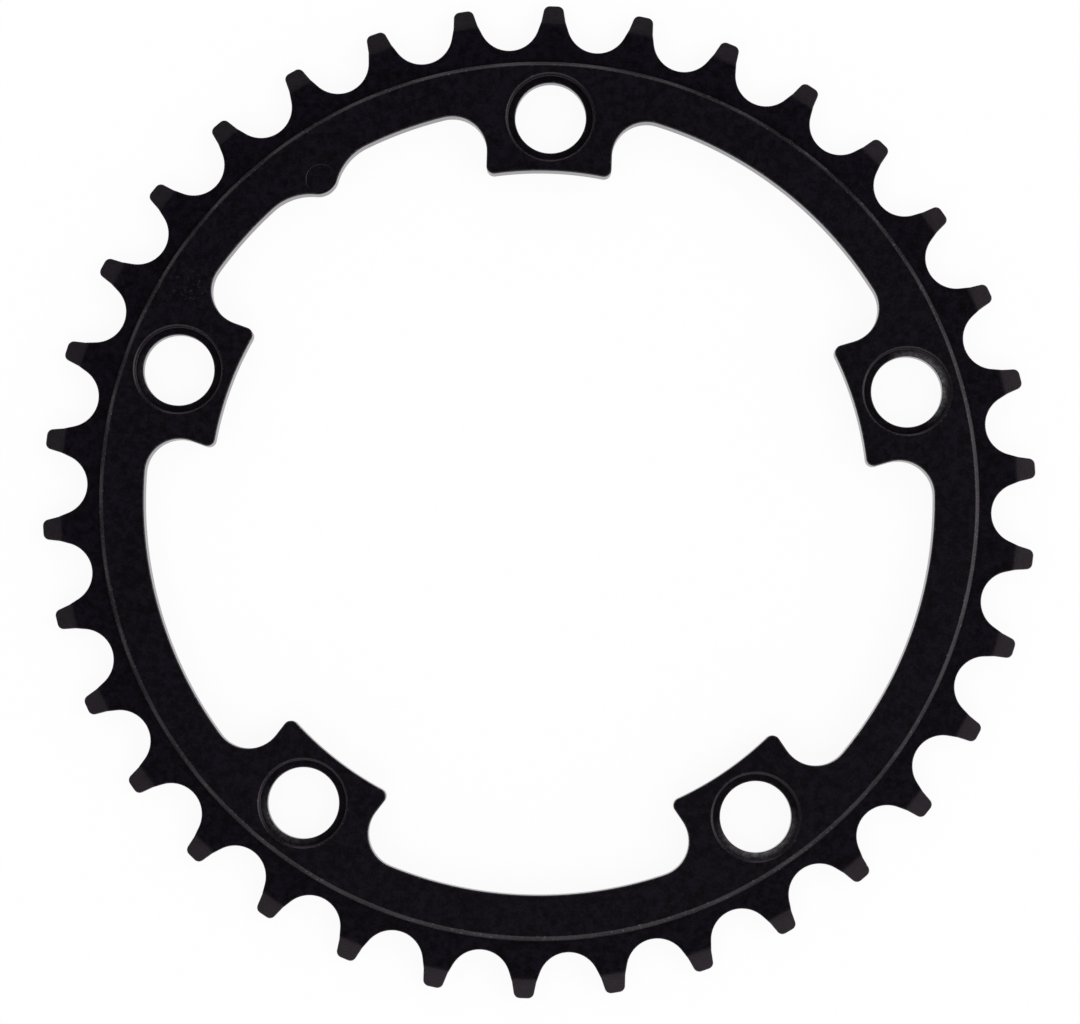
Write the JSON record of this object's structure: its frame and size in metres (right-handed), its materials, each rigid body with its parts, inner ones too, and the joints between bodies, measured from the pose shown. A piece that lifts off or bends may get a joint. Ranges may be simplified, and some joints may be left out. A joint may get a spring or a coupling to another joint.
{
  "type": "bicycle chainring",
  "caption": "Toothed ring that drives a bicycle's roller chain: stepped band, bevelled teeth, inner tabs with counterbored bolt holes for a crank spider and a locating lug.",
  "frame": {"origin": "centre of the bolt circle, on the back face that lies against the crank spider", "axes": "+Z along the axis of rotation, out of the counterbored face; +Y through the bolt hole that has a tooth tip on its radial line; the lug stands midway to the next bolt hole, anticlockwise seen from +Z"},
  "size_m": [0.1422, 0.1426, 0.0035],
  "materials": {
    "black_anodised_aluminium": "satin"
  },
  "bodies": {
    "root": {"chainring": "black_anodised_aluminium"}
  },
  "joints": []
}
